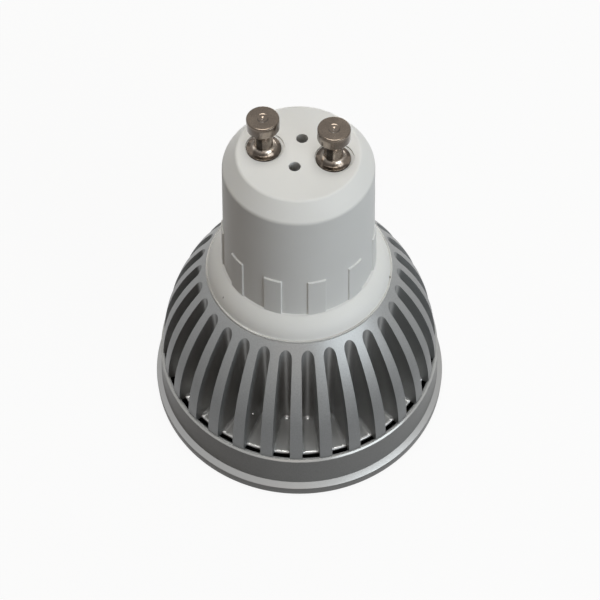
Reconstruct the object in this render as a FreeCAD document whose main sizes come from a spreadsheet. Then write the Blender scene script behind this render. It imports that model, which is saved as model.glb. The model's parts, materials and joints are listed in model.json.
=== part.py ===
import FreeCAD, Part
import os
import re
import Sketcher

# LED spot lamp with a twist-lock pin base, standing on its front ring with the pins up.
# Millimetres, +Z from the front ring's flat face to the pins, the lamp's axis on Z.

sizes = {
    # Front ring and lens
    "ring_diameter": 50.0,
    "ring_wall_height": 1.94,
    "ring_slope_height": 0.69,
    "ring_ledge": 0.9,
    "ring_edge": 0.25,
    "ring_spigot": 2.8,
    "ring_spigot_wall": 1.0,
    "lens_recess": 1.0,
    "lens_thickness": 1.6,
    "lens_skirt": 1.0,
    "lens_lip": 1.0,
    "lens_bevel": 0.4,
    # Heat sink: rim band, slotted dome, hub and floor plate
    "rim_height": 6.37,
    "rim_wall": 1.1,
    "rim_draft": 0.46,
    "lip_bevel": 0.24,
    "lip_ledge": 0.37,
    "dome_height": 21.0,
    "dome_sag": 1.75,
    "hub_bore_diameter": 26.8,
    "hub_wall": 1.35,
    "plate_thickness": 1.6,
    "plate_edge_round": 0.35,
    "window_width": 0.85,
    "slot_count": 30,
    "slot_angle": 7.05,
    "slot_phase": 10.0,
    "slot_root_land": 0.7,
    "wire_hole_diameter": 8.0,
    # White base: sleeve with its collar, and cap
    "sleeve_wall": 1.2,
    "collar_inset": 0.03,
    "collar_height": 3.62,
    "collar_edge": 0.4,
    "collar_bead": 0.42,
    "collar_groove": 0.1,
    "collar_hollow": 0.25,
    "cap_diameter": 23.56,
    "cap_height": 23.18,
    "cap_draft": 0.83,
    "cap_crown_height": 2.61,
    "cap_crown_inset": 2.07,
    "cap_edge_round": 0.5,
    "cap_wall": 1.2,
    "cap_roof": 1.8,
    "pad_count": 11,
    "pad_angle": 13.0,
    "pad_height": 7.6,
    "pad_rise": 0.35,
    "neck_length": 7.9,
    "neck_wall": 1.0,
    "vent_diameter": 1.55,
    "vent_spacing": 5.36,
    "boss_diameter": 4.6,
    # Contact pins
    "pin_angle": 348.6,
    "pin_spacing": 10.0,
    "pin_length": 6.04,
    "pin_head_diameter": 4.64,
    "pin_head_height": 1.95,
    "pin_head_edge": 0.22,
    "pin_taper": 0.75,
    "pin_neck_diameter": 2.7,
    "pin_flange_diameter": 5.0,
    "pin_flange_edge": 0.35,
    "pin_flare": 0.85,
    "pin_seat_depth": 0.3,
    "pin_seat_margin": 0.23,
    "pin_shank_diameter": 2.2,
    "pin_rivet_diameter": 3.6,
    "pin_rivet_height": 0.5,
    "pin_tail": 2.0,
    "pin_dimple_diameter": 1.5,
    "pin_dimple_depth": 0.18,
    "pin_nipple_diameter": 0.7,
    "pin_nipple_height": 0.16,
    # Lamp board and its fixing
    "pad_sheet_margin": 1.3,
    "pad_sheet_thickness": 0.3,
    "lamp_board_thickness": 1.2,
    "chip_count": 12,
    "chip_inset": 4.2,
    "chip_length": 3.5,
    "chip_width": 2.8,
    "chip_height": 0.8,
    "chip_well_diameter": 2.3,
    "chip_well_depth": 0.2,
    "screw_inset": 1.9,
    "screw_diameter": 2.0,
    "screw_length": 9.0,
    "screw_head_diameter": 4.0,
    "screw_head_height": 1.4,
    "screw_head_rim": 0.7,
    # Driver board, with its distances from the sleeve's foot, the dome's top and the cap's roof
    "board_thickness": 1.2,
    "board_foot_gap": 2.8,
    "board_shoulder_drop": 1.4,
    "board_headroom": 5.0,
    "pin_lead_diameter": 0.8,
    "pin_lead_overlap": 5.0,
    "lamp_lead_diameter": 1.0,
    "lamp_lead_margin": 1.1,
    "lamp_lead_overlap": 2.6,
    "lamp_lead_bend": 1.6,
    "lamp_lead_tail": 3.6,
    # What the driver board carries, with distances from its foot, shoulder or top
    "core_width": 10.4,
    "core_height": 10.0,
    "core_depth": 4.6,
    "core_leg": 1.6,
    "core_centre_leg": 3.0,
    "core_drop": 1.1,
    "coil_depth": 7.8,
    "coil_corner": 1.2,
    "store_diameter": 6.3,
    "store_length": 8.0,
    "store_edge": 0.4,
    "store_groove": 0.35,
    "input_store_across": 3.7,
    "input_store_rise": 1.2,
    "output_store_across": 4.6,
    "output_store_drop": 1.6,
    "choke_diameter": 5.2,
    "choke_length": 6.5,
    "choke_flange": 1.0,
    "choke_winding_diameter": 4.4,
    "choke_across": 3.8,
    "choke_rise": 2.0,
    "fuse_diameter": 2.6,
    "fuse_waist_diameter": 2.1,
    "fuse_length": 6.4,
    "fuse_end": 1.3,
    "fuse_drop": 6.8,
    "bridge_width": 4.7,
    "bridge_height": 3.8,
    "bridge_depth": 2.5,
    "bridge_drop": 7.0,
    "driver_chip_width": 4.9,
    "driver_chip_height": 3.9,
    "driver_chip_depth": 1.5,
    "driver_chip_rise": 2.4,
    "diode_width": 4.3,
    "diode_height": 2.6,
    "diode_depth": 2.2,
    "diode_across": 4.9,
    "diode_rise": 2.0,
    "film_width": 6.6,
    "film_height": 6.0,
    "film_depth": 4.0,
    "film_across": 4.9,
    "film_rise": 7.0,
    "block_edge": 0.3,
    # Fits: each gap is written once and shared by both sides of its fit
    "slide_gap": 0.1,
    "screw_gap": 0.3,
    "pilot_gap": 0.02,
    "pilot_end_gap": 0.6,
    "seat_gap": 0.2,
}

doc = FreeCAD.newDocument("spot_lamp")
sheet = doc.addObject("Spreadsheet::Sheet", "sizes")
for row, (alias, amount) in enumerate(sizes.items(), 1):
    sheet.set("A%d" % row, alias)
    sheet.set("B%d" % row, str(amount))
    sheet.setAlias("B%d" % row, alias)
doc.recompute()
pieces = []

# Radii and levels that more than one piece shares, from the front ring up to the pins
ring_top = "(ring_wall_height + ring_slope_height)"
rim_foot = "(ring_diameter / 2 - ring_ledge)"
rim_lip = "(%s - rim_draft)" % rim_foot
rim_bore = "(%s - rim_wall)" % rim_foot
rim_top = "(%s + rim_height)" % ring_top
dome_foot = "(%s - lip_ledge)" % rim_lip
dome_top = "(%s + dome_height)" % rim_top
hub_bore = "(hub_bore_diameter / 2)"
dome_rim = "(%s + hub_wall)" % hub_bore
slot_root = "(%s + slot_root_land)" % dome_rim
plate_edge = "(%s - window_width)" % rim_bore
plate_under = "(%s - plate_thickness)" % rim_top
spigot_outer = "(%s - slide_gap)" % rim_bore
spigot_inner = "(%s - ring_spigot_wall)" % spigot_outer
lens_outer = "(%s - slide_gap)" % spigot_inner
lens_inner = "(%s - lens_skirt)" % lens_outer
lamp_board_edge = "(%s - slide_gap)" % lens_inner
lamp_board_back = "(%s - pad_sheet_thickness)" % plate_under
lamp_board_front = "(%s - lamp_board_thickness)" % lamp_board_back
sleeve_outer = "(%s - slide_gap)" % hub_bore
sleeve_inner = "(%s - sleeve_wall)" % sleeve_outer
sleeve_foot = "(%s + seat_gap)" % rim_top
collar_outer = "(%s - collar_inset)" % dome_rim
screw_axis = "(%s - screw_inset)" % sleeve_inner
screw_way = "(screw_diameter / 2 + screw_gap)"
screw_end = "(%s + screw_length)" % lamp_board_front
cap_foot = "(%s + collar_height)" % dome_top
cap_top = "(%s + cap_height)" % cap_foot
cap_shoulder = "(%s - cap_crown_height)" % cap_top
cap_ceiling = "(%s - cap_roof)" % cap_top
cap_foot_edge = "(cap_diameter / 2)"
cap_shoulder_edge = "(%s - cap_draft)" % cap_foot_edge
cap_top_edge = "(%s - cap_crown_inset)" % cap_shoulder_edge
cap_slope = "(cap_draft / (cap_height - cap_crown_height))"
cap_bore = "(%s - cap_wall)" % cap_foot_edge
neck_inner = "(%s - %s * neck_length - slide_gap - neck_wall)" % (cap_bore, cap_slope)
pin_axis = "(pin_spacing / 2)"
pin_seat = "(%s - pin_seat_depth)" % cap_top
pin_end = "(%s - pin_tail)" % cap_ceiling
board_front = "(-pin_lead_diameter / 2)"
board_back = "(%s - board_thickness)" % board_front
board_foot = "(%s + board_foot_gap)" % sleeve_foot
board_shoulder = "(%s - board_shoulder_drop)" % dome_top
board_top = "(%s - board_headroom)" % cap_ceiling


def formula(words):
    return re.sub("[a-z]+(_[a-z]+)+", lambda found: "sizes." + found.group(0), words)


def value(words):
    return float(sheet.evalExpression(words))


# A piece starts as an empty body, turned with the pin line, or past it, and moved to its seat
def new_piece(label, across="0", out="0", up="0", spin="0"):
    body = doc.addObject("PartDesign::Body", label)
    body.Label = label
    body.AllowCompound = True
    body.Placement = FreeCAD.Placement(FreeCAD.Vector(), FreeCAD.Rotation(FreeCAD.Vector(0, 0, 1), 1))
    places = {"across": across, "out": out}
    east = "(%(across)s) * cos(pin_angle) - (%(out)s) * sin(pin_angle)" % places
    north = "(%(across)s) * sin(pin_angle) + (%(out)s) * cos(pin_angle)" % places
    body.setExpression("Placement.Rotation.Angle", formula("pin_angle + " + spin))
    body.setExpression("Placement.Base.x", formula(east))
    body.setExpression("Placement.Base.y", formula(north))
    body.setExpression("Placement.Base.z", formula(up))
    pieces.append(body)
    return body


def origin_part(body, role):
    return [part for part in body.Origin.OriginFeatures if part.Role == role][0]


# The sketch's plane is lifted along its normal and spun about its own upright axis
def sketch(body, plane, lift="0", spin="0"):
    page = body.newObject("Sketcher::SketchObject", body.Name + "_sketch")
    page.AttachmentSupport = [(origin_part(body, plane), "")]
    page.MapMode = "FlatFace"
    upright = FreeCAD.Rotation(FreeCAD.Vector(0, 1, 0), 1)
    page.AttachmentOffset = FreeCAD.Placement(FreeCAD.Vector(), upright)
    page.setExpression("AttachmentOffset.Rotation.Angle", formula(spin))
    page.setExpression("AttachmentOffset.Base.z", formula(lift))
    return page


def hold_size(page, kind, links, words):
    number = page.addConstraint(Sketcher.Constraint(kind, *links, value(words)))
    page.renameConstraint(number, "%s_%d" % (kind.lower(), number))
    page.setExpression("Constraints[%d]" % number, formula(words))


def hold_point(page, line, end, across, along):
    for kind, axis, words in (("DistanceX", -2, across), ("DistanceY", -1, along)):
        if words == "0":
            page.addConstraint(Sketcher.Constraint("PointOnObject", line, end, axis))
        else:
            hold_size(page, kind, (-1, 1, line, end), words)


# Draws a chain of lines and arcs. A corner is (across, along), and a third entry makes the
# stretch to the next corner an arc that swells by that much to the right of its direction.
def outline(page, corners, closed=True):
    spots = [FreeCAD.Vector(value(corner[0]), value(corner[1]), 0) for corner in corners]
    last = len(corners) if closed else len(corners) - 1
    ends = []
    for number in range(last):
        start = spots[number]
        finish = spots[(number + 1) % len(spots)]
        if len(corners[number]) == 3:
            run = finish - start
            right = FreeCAD.Vector(run.y, -run.x, 0).normalize()
            crown = (start + finish) * 0.5 + right * value(corners[number][2])
            line = page.addGeometry(Part.Arc(start, crown, finish))
        else:
            line = page.addGeometry(Part.LineSegment(start, finish))
        forward = page.getPoint(line, 1).distanceToPoint(start) < 1e-6
        ends.append((line, 1, 2) if forward else (line, 2, 1))
    for number, (line, start_end, finish_end) in enumerate(ends):
        corner = corners[number]
        following = corners[(number + 1) % len(corners)]
        if closed or number + 1 < last:
            after = ends[(number + 1) % last]
            page.addConstraint(Sketcher.Constraint("Coincident", line, finish_end, after[0], after[1]))
        else:
            hold_point(page, line, finish_end, following[0], following[1])
        hold_point(page, line, start_end, corner[0], corner[1])
        if len(corner) == 3:
            ends_words = (following[0], corner[0], following[1], corner[1], corner[2], corner[2])
            radius = "(((%s) - (%s))^2 + ((%s) - (%s))^2) / (8 * abs(%s)) + abs(%s) / 2" % ends_words
            hold_size(page, "Radius", (line,), radius)


# Swell of the quarter circle with this radius
def quarter_swell(radius):
    return "%s * (1 - sqrt(0.5))" % radius


# Swell of the arc from the rim of a round crown to its top, part of a ball on the axis
def crown_swell(diameter, height):
    chord = "((%s / 2)^2 + %s^2)" % (diameter, height)
    ball = "(%s / (2 * %s))" % (chord, height)
    return "(%s - sqrt(%s^2 - %s / 4))" % (ball, ball, chord)


def circle(page, across, along, radius):
    middle = FreeCAD.Vector(value(across), value(along), 0)
    line = page.addGeometry(Part.Circle(middle, FreeCAD.Vector(0, 0, 1), value(radius)))
    hold_point(page, line, 3, across, along)
    hold_size(page, "Radius", (line,), radius)


def rectangle(page, left, right, low, high):
    outline(page, [(left, low), (right, low), (right, high), (left, high)])


def turn(body, corners, plane="XZ_Plane", axis="V_Axis"):
    page = sketch(body, plane)
    outline(page, corners)
    turned = body.newObject("PartDesign::Revolution", body.Name + "_turned")
    turned.Profile = page
    turned.ReferenceAxis = (page, [axis])
    turned.Angle = 360
    return turned


def raise_pad(body, page, length, reverse=False):
    pad = body.newObject("PartDesign::Pad", body.Name + "_pad")
    pad.Profile = page
    pad.setExpression("Length", formula(length))
    pad.Reversed = reverse
    return pad


# Makes a cut that takes one size, and stops the build if it removes nothing
def cut_away(body, kind, page, settings, size, words):
    doc.recompute()
    before = body.Shape.Volume
    removed = body.newObject("PartDesign::" + kind, body.Name + "_" + kind.lower())
    removed.Profile = page
    for name, setting in settings.items():
        setattr(removed, name, setting)
    removed.setExpression(size, formula(words))
    doc.recompute()
    if body.Shape.Volume > before - 1e-6:
        raise ValueError("a cut in %s removed nothing" % body.Label)
    return removed


def cut(body, page, depth, reverse=False):
    return cut_away(body, "Pocket", page, {"Reversed": reverse}, "Length", depth)


# Cuts round the upright axis, by half the angle either side of the sketch
def cut_round(body, page, angle):
    settings = {"ReferenceAxis": (page, ["V_Axis"]), "Midplane": True}
    return cut_away(body, "Groove", page, settings, "Angle", angle)


def repeat_round(body, features, count):
    ring = body.newObject("PartDesign::PolarPattern", body.Name + "_pattern")
    ring.Originals = features
    ring.Axis = (origin_part(body, "Z_Axis"), [""])
    ring.Angle = 360
    ring.setExpression("Occurrences", formula(count))
    body.Tip = ring
    return ring


# Rounds or bevels the edges that the chooser picks from the piece so far
def ease_edges(body, kind, amount, chooser):
    doc.recompute()
    base = body.Tip
    names = ["Edge%d" % (number + 1) for number, edge in enumerate(base.Shape.Edges) if chooser(edge)]
    eased = body.newObject("PartDesign::" + kind, body.Name + "_" + kind.lower())
    eased.Base = (base, names)
    eased.setExpression("Radius" if kind == "Fillet" else "Size", formula(amount))
    body.Tip = eased


def is_circle(edge, radius, height):
    if not isinstance(edge.Curve, Part.Circle):
        return False
    return abs(edge.Curve.Radius - radius) < 1e-4 and abs(edge.Curve.Center.z - height) < 1e-4


def is_line_along(edge, direction):
    if not isinstance(edge.Curve, Part.Line):
        return False
    return abs(edge.Curve.Direction.dot(direction)) > 0.999


def two_screw_holes(body, lift, radius, depth, reverse=False):
    page = sketch(body, "XY_Plane", lift)
    for side in ("", "-"):
        circle(page, "0", side + screw_axis, radius)
    return cut(body, page, depth, reverse)


def make_lens_ring():
    body = new_piece("lens_ring")
    lip = "%s - lens_lip" % lens_outer
    turn(body, [
        (lip + " + lens_bevel", "0"),
        ("ring_diameter / 2 - ring_edge", "0"),
        ("ring_diameter / 2", "ring_edge"),
        ("ring_diameter / 2", "ring_wall_height", "ring_edge / 2"),
        (rim_foot, ring_top),
        (spigot_outer, ring_top),
        (spigot_outer, ring_top + " + ring_spigot"),
        (spigot_inner, ring_top + " + ring_spigot"),
        (spigot_inner, "lens_recess"),
        (lip, "lens_recess"),
        (lip, "lens_bevel"),
    ])


def make_lens():
    body = new_piece("lens")
    turn(body, [
        ("0", "lens_recess"),
        (lens_outer, "lens_recess"),
        (lens_outer, plate_under),
        (lens_inner, plate_under),
        (lens_inner, "lens_recess + lens_thickness"),
        ("0", "lens_recess + lens_thickness"),
    ])


# Two corners at one distance from the axis, either side of the slot's middle
def slot_corner(distance, side):
    angle = "(slot_phase %s slot_angle / 2)" % side
    return ("%s * cos%s" % (distance, angle), "%s * sin%s" % (distance, angle))


# One casting: each slot is pulled straight up out of the dome, so its root is a round-ended
# channel between two ribs, and the floor plate ends in a rounded edge at a small window behind the rim.
def make_heat_sink():
    body = new_piece("heat_sink")
    turn(body, [
        (rim_bore, ring_top),
        (rim_foot, ring_top),
        (rim_lip, rim_top + " - lip_bevel"),
        (rim_lip + " - lip_bevel", rim_top),
        (dome_foot, rim_top, "dome_sag"),
        (dome_rim, dome_top),
        (hub_bore, dome_top),
        (hub_bore, rim_top),
        ("wire_hole_diameter / 2", rim_top),
        ("wire_hole_diameter / 2", plate_under),
        (rim_bore, plate_under),
    ])
    two_screw_holes(body, rim_top, screw_way, "plate_thickness")
    half = "sin(slot_angle / 2)"
    tangent = "%s * cos(slot_angle / 2) / (1 - %s)" % (slot_root, half)
    channel = sketch(body, "XY_Plane", dome_top)
    outline(channel, [
        slot_corner(tangent, "-"),
        slot_corner("ring_diameter / 2", "-"),
        slot_corner("ring_diameter / 2", "+"),
        slot_corner(tangent, "+") + ("%s * %s" % (slot_root, half),),
    ])
    slot = cut(body, channel, "dome_height")
    gap = sketch(body, "XZ_Plane", spin="slot_phase")
    outline(gap, [
        (plate_edge + " - plate_edge_round", rim_top, "-" + quarter_swell("plate_edge_round")),
        (plate_edge, rim_top + " - plate_edge_round"),
        (plate_edge, plate_under),
        (rim_bore, plate_under),
        (rim_bore, rim_top),
    ])
    window = cut_round(body, gap, "slot_angle")
    repeat_round(body, [slot, window], "slot_count")


def make_thermal_pad():
    body = new_piece("thermal_pad")
    page = sketch(body, "XY_Plane", lamp_board_back)
    circle(page, "0", "0", lens_inner + " - pad_sheet_margin")
    circle(page, "0", "0", "wire_hole_diameter / 2")
    raise_pad(body, page, "pad_sheet_thickness")
    two_screw_holes(body, plate_under, screw_way, "pad_sheet_thickness")


def make_lamp_board():
    body = new_piece("lamp_board")
    page = sketch(body, "XY_Plane", lamp_board_front)
    circle(page, "0", "0", lamp_board_edge)
    circle(page, "0", "0", "wire_hole_diameter / 2")
    raise_pad(body, page, "lamp_board_thickness")
    two_screw_holes(body, lamp_board_back, screw_way, "lamp_board_thickness")


# Light-emitting chips in a circle on the board's front, each with its shallow round well; half a
# step round from the screws' line, so that no chip stands in line with a screw
def make_lamp_chips():
    body = new_piece("lamp_chips", spin="180 / chip_count")
    face = "%s - chip_height" % lamp_board_front
    middle = "(%s - chip_inset)" % lamp_board_edge
    page = sketch(body, "XY_Plane", face)
    near = middle + " - chip_width / 2"
    far = middle + " + chip_width / 2"
    rectangle(page, near, far, "-chip_length / 2", "chip_length / 2")
    chip = raise_pad(body, page, "chip_height")
    hollow = sketch(body, "XY_Plane", face)
    circle(hollow, middle, "0", "chip_well_diameter / 2")
    well = cut(body, hollow, "chip_well_depth", True)
    repeat_round(body, [chip, well], "chip_count")


# Pan-head screws through the lamp board and the floor plate into the sleeve's bosses
def make_fixing_screws():
    body = new_piece("fixing_screws")
    page = sketch(body, "YZ_Plane")
    shank = screw_axis + " + screw_diameter / 2"
    head = screw_axis + " + screw_head_diameter / 2"
    swell = crown_swell("screw_head_diameter", "(screw_head_height - screw_head_rim)")
    outline(page, [
        (screw_axis, lamp_board_front + " - screw_head_height", swell),
        (head, lamp_board_front + " - screw_head_rim"),
        (head, lamp_board_front),
        (shank, lamp_board_front),
        (shank, screw_end + " - screw_diameter / 2"),
        (screw_axis, screw_end),
    ])
    turned = body.newObject("PartDesign::Revolution", "fixing_screws_turned")
    turned.Profile = page
    turned.ReferenceAxis = (page, ["Edge%d" % page.GeometryCount])
    turned.Angle = 360
    repeat_round(body, [turned], "2")


def make_base_sleeve():
    body = new_piece("base_sleeve")
    bead_inner = collar_outer + " - collar_bead"
    collar_top = dome_top + " + collar_edge"
    neck_top = cap_foot + " + neck_length"
    turn(body, [
        (sleeve_inner, sleeve_foot),
        (sleeve_outer, sleeve_foot),
        (sleeve_outer, dome_top),
        (collar_outer, dome_top),
        (collar_outer, dome_top + " + collar_edge / 2"),
        (collar_outer + " - collar_bead / 2", collar_top),
        (bead_inner, collar_top + " - collar_groove"),
        (bead_inner + " - collar_groove", collar_top, "-collar_hollow"),
        (cap_foot_edge + " + pad_rise", cap_foot),
        (cap_bore + " - slide_gap", cap_foot),
        (neck_inner + " + neck_wall", neck_top),
        (neck_inner, neck_top),
        (neck_inner, dome_top + " + sleeve_wall"),
        (sleeve_inner, board_shoulder + " + seat_gap"),
    ])
    pilot = "(%s + pilot_end_gap - %s)" % (screw_end, sleeve_foot)
    page = sketch(body, "XY_Plane", sleeve_foot)
    for side in ("", "-"):
        circle(page, "0", side + screw_axis, "boss_diameter / 2")
    raise_pad(body, page, pilot + " + sleeve_wall")
    two_screw_holes(body, sleeve_foot, "screw_diameter / 2 + pilot_gap", pilot, True)


def make_base_cap():
    body = new_piece("base_cap")
    turn(body, [
        (cap_bore, cap_foot),
        (cap_foot_edge, cap_foot),
        (cap_shoulder_edge, cap_shoulder),
        (cap_top_edge, cap_top),
        ("0", cap_top),
        ("0", cap_ceiling),
        (cap_top_edge + " - cap_wall / 2", cap_ceiling),
        (cap_shoulder_edge + " - cap_wall", cap_shoulder + " - cap_wall / 2"),
    ])
    shoulder_circle = (value(cap_shoulder_edge), value(cap_shoulder))
    top_circle = (value(cap_top_edge), value(cap_top))
    ease_edges(body, "Fillet", "cap_edge_round",
               lambda edge: is_circle(edge, *shoulder_circle) or is_circle(edge, *top_circle))
    page = sketch(body, "XZ_Plane")
    buried = cap_foot_edge + " - cap_wall / 2"
    narrowing = " - %s * pad_height" % cap_slope
    outline(page, [
        (buried, cap_foot),
        (cap_foot_edge + " + pad_rise", cap_foot),
        (cap_foot_edge + " + pad_rise" + narrowing, cap_foot + " + pad_height"),
        (buried + narrowing, cap_foot + " + pad_height"),
    ])
    pad = body.newObject("PartDesign::Revolution", "base_cap_pad")
    pad.Profile = page
    pad.ReferenceAxis = (page, ["V_Axis"])
    pad.Midplane = True
    pad.setExpression("Angle", formula("pad_angle"))
    repeat_round(body, [pad], "pad_count")
    seats = sketch(body, "XY_Plane", cap_top)
    holes = sketch(body, "XY_Plane", cap_top)
    for side in ("", "-"):
        circle(seats, side + pin_axis, "0", "pin_flange_diameter / 2 + pin_seat_margin")
        circle(holes, side + pin_axis, "0", "pin_shank_diameter / 2 + pilot_gap")
        circle(holes, "0", side + "vent_spacing / 2", "vent_diameter / 2")
    cut(body, seats, "pin_seat_depth")
    cut(body, holes, "cap_roof")


def make_contact_pin(label, side):
    body = new_piece(label, side + pin_axis)
    tip = "(%s + pin_length)" % cap_top
    head_foot = "(%s - pin_head_height)" % tip
    flange_top = "(%s + pin_flange_edge)" % pin_seat
    dimple = tip + " - pin_dimple_depth"
    rivet_end = cap_ceiling + " - pin_rivet_height"
    turn(body, [
        ("0", pin_end),
        ("pin_shank_diameter / 2", pin_end),
        ("pin_shank_diameter / 2", rivet_end),
        ("pin_rivet_diameter / 2", rivet_end),
        ("pin_rivet_diameter / 2", cap_ceiling),
        ("pin_shank_diameter / 2", cap_ceiling),
        ("pin_shank_diameter / 2", pin_seat),
        ("pin_flange_diameter / 2", pin_seat),
        ("pin_flange_diameter / 2", flange_top, "-pin_flare / 5"),
        ("pin_neck_diameter / 2", flange_top + " + pin_flare"),
        ("pin_neck_diameter / 2", head_foot + " - pin_taper", "-pin_taper / 8"),
        ("pin_head_diameter / 2", head_foot),
        ("pin_head_diameter / 2", tip + " - pin_head_edge", "pin_head_edge / 4"),
        ("pin_head_diameter / 2 - pin_head_edge", tip),
        ("pin_dimple_diameter / 2", tip),
        ("pin_nipple_diameter / 2", dimple, crown_swell("pin_nipple_diameter", "pin_nipple_height")),
        ("0", dimple + " + pin_nipple_height"),
    ])


def make_pin_lead(label, side):
    body = new_piece(label, side + pin_axis)
    low = "(%s - pin_lead_overlap)" % board_top
    page = sketch(body, "XY_Plane", low)
    circle(page, "0", "0", "pin_lead_diameter / 2")
    raise_pad(body, page, "%s - %s" % (pin_end, low))


# Stepped board: wide in the sleeve, narrow in the neck and the cap
def make_driver_board():
    body = new_piece("driver_board")
    wide = "(sqrt(%s^2 - %s^2) - slide_gap)" % (sleeve_inner, board_back)
    narrow = "(sqrt(%s^2 - %s^2) - slide_gap)" % (neck_inner, board_back)
    page = sketch(body, "XZ_Plane", "-" + board_back)
    outline(page, [
        ("-" + wide, board_foot),
        (wide, board_foot),
        (wide, board_shoulder),
        (narrow, board_shoulder),
        (narrow, board_top),
        ("-" + narrow, board_top),
        ("-" + narrow, board_shoulder),
        ("-" + wide, board_shoulder),
    ])
    raise_pad(body, page, "board_thickness", True)


# Insulated wire down the board's face, through the floor plate and round onto the lamp board
def make_lamp_lead(label, side):
    radius = "lamp_lead_diameter / 2"
    across = "(wire_hole_diameter / 2 - lamp_lead_margin - %s)" % radius
    body = new_piece(label, side + across, "%s + %s" % (board_front, radius))
    high = board_foot + " + lamp_lead_overlap"
    low = "(%s - %s)" % (lamp_board_front, radius)
    path = sketch(body, "YZ_Plane")
    outline(path, [
        ("0", high),
        ("0", low + " + lamp_lead_bend", quarter_swell("lamp_lead_bend")),
        ("lamp_lead_bend", low),
        ("lamp_lead_bend + lamp_lead_tail", low),
    ], closed=False)
    end = sketch(body, "XY_Plane", high)
    circle(end, "0", "0", radius)
    wire = body.newObject("PartDesign::AdditivePipe", label + "_wire")
    wire.Profile = end
    wire.Spine = (path, [])


def make_transformer():
    window = "(core_height - 2 * core_leg)"
    inner = "(core_width / 2 - core_leg)"
    out = board_front + " + coil_depth / 2"
    middle = board_shoulder + " - core_drop - core_height / 2"
    core = new_piece("transformer_core", "0", out, middle)
    page = sketch(core, "XZ_Plane", "-core_depth / 2")
    rectangle(page, "-core_width / 2", "core_width / 2", "-core_height / 2", "core_height / 2")
    rectangle(page, "-" + inner, "-core_centre_leg / 2", "-%s / 2" % window, window + " / 2")
    rectangle(page, "core_centre_leg / 2", inner, "-%s / 2" % window, window + " / 2")
    raise_pad(core, page, "core_depth")
    coil = new_piece("transformer_coil", "0", out, middle)
    winding = sketch(coil, "XY_Plane", "-%s / 2" % window)
    wide = "(%s - slide_gap)" % inner
    rectangle(winding, "-" + wide, wide, "-coil_depth / 2", "coil_depth / 2")
    rectangle(winding, "-core_centre_leg / 2", "core_centre_leg / 2", "-core_depth / 2", "core_depth / 2")
    raise_pad(coil, winding, window)
    outside = value(wide)
    upright = FreeCAD.Vector(0, 0, 1)
    ease_edges(coil, "Fillet", "coil_corner",
               lambda edge: is_line_along(edge, upright) and abs(abs(edge.CenterOfMass.x) - outside) < 1e-4)


# Round storage capacitor lying on one face of the board: rolled groove near the sealed end
def make_store(label, across, face, outwards, foot):
    radius = "store_diameter / 2"
    body = new_piece(label, across, face + outwards + radius, foot)
    turn(body, [
        ("0", "0"),
        (radius + " - store_edge", "0"),
        (radius, "store_edge"),
        (radius, "2 * store_edge"),
        (radius + " - store_groove", "2 * store_edge + store_groove"),
        (radius, "2 * store_edge + 2 * store_groove"),
        (radius, "store_length - store_edge"),
        (radius + " - store_edge", "store_length"),
        ("0", "store_length"),
    ])


def make_choke():
    out = board_front + " + choke_diameter / 2"
    body = new_piece("input_choke", "-choke_across", out, board_shoulder + " + choke_rise")
    turn(body, [
        ("0", "0"),
        ("choke_diameter / 2", "0"),
        ("choke_diameter / 2", "choke_flange"),
        ("choke_winding_diameter / 2", "choke_flange"),
        ("choke_winding_diameter / 2", "choke_length - choke_flange"),
        ("choke_diameter / 2", "choke_length - choke_flange"),
        ("choke_diameter / 2", "choke_length"),
        ("0", "choke_length"),
    ])


def make_fuse_resistor():
    out = board_front + " + fuse_diameter / 2"
    body = new_piece("fuse_resistor", "0", out, board_top + " - fuse_drop")
    waist = "fuse_length / 2 - fuse_end"
    turn(body, [
        ("-fuse_length / 2", "0"),
        ("fuse_length / 2", "0"),
        ("fuse_length / 2", "fuse_diameter / 2"),
        (waist, "fuse_diameter / 2"),
        (waist + " - block_edge", "fuse_waist_diameter / 2"),
        ("block_edge - (%s)" % waist, "fuse_waist_diameter / 2"),
        ("-(%s)" % waist, "fuse_diameter / 2"),
        ("-fuse_length / 2", "fuse_diameter / 2"),
    ], axis="H_Axis")


# Moulded block on the board's back face, bevelled along its outer edges; its sizes share a first word
def make_block(label, kind, foot, across="0"):
    body = new_piece(label, across, board_back, foot)
    page = sketch(body, "XZ_Plane")
    rectangle(page, "-%s_width / 2" % kind, kind + "_width / 2", "0", kind + "_height")
    raise_pad(body, page, kind + "_depth")
    outer = value(kind + "_depth")
    ease_edges(body, "Chamfer", "block_edge", lambda edge: abs(edge.CenterOfMass.y + outer) < 1e-4)


make_lens_ring()
make_lens()
make_heat_sink()
make_thermal_pad()
make_lamp_board()
make_lamp_chips()
make_fixing_screws()
make_base_sleeve()
make_base_cap()
for pin_side, pin_name in (("", "right"), ("-", "left")):
    make_contact_pin("contact_pin_" + pin_name, pin_side)
    make_pin_lead("pin_lead_" + pin_name, pin_side)
make_driver_board()
make_lamp_lead("lamp_lead_positive", "")
make_lamp_lead("lamp_lead_negative", "-")
make_transformer()
input_store_foot = board_shoulder + " + input_store_rise"
output_store_foot = board_shoulder + " - output_store_drop - store_length"
make_store("input_capacitor", "input_store_across", board_front, " + ", input_store_foot)
make_store("output_capacitor", "-output_store_across", board_back, " - ", output_store_foot)
make_choke()
make_fuse_resistor()
make_block("bridge_rectifier", "bridge", board_top + " - bridge_drop")
make_block("driver_chip", "driver_chip", board_shoulder + " + driver_chip_rise")
make_block("output_diode", "diode", board_foot + " + diode_rise", "diode_across")
make_block("film_capacitor", "film", board_foot + " + film_rise", "film_across")

doc.recompute()
for thing in doc.Objects:
    if "Invalid" in thing.State or "Error" in thing.State:
        raise ValueError("%s failed: %s" % (thing.Name, thing.getStatusString()))
for piece in pieces:
    if piece.Shape.isNull() or not piece.Shape.isValid():
        raise ValueError("%s has no valid solid" % piece.Label)

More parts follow.
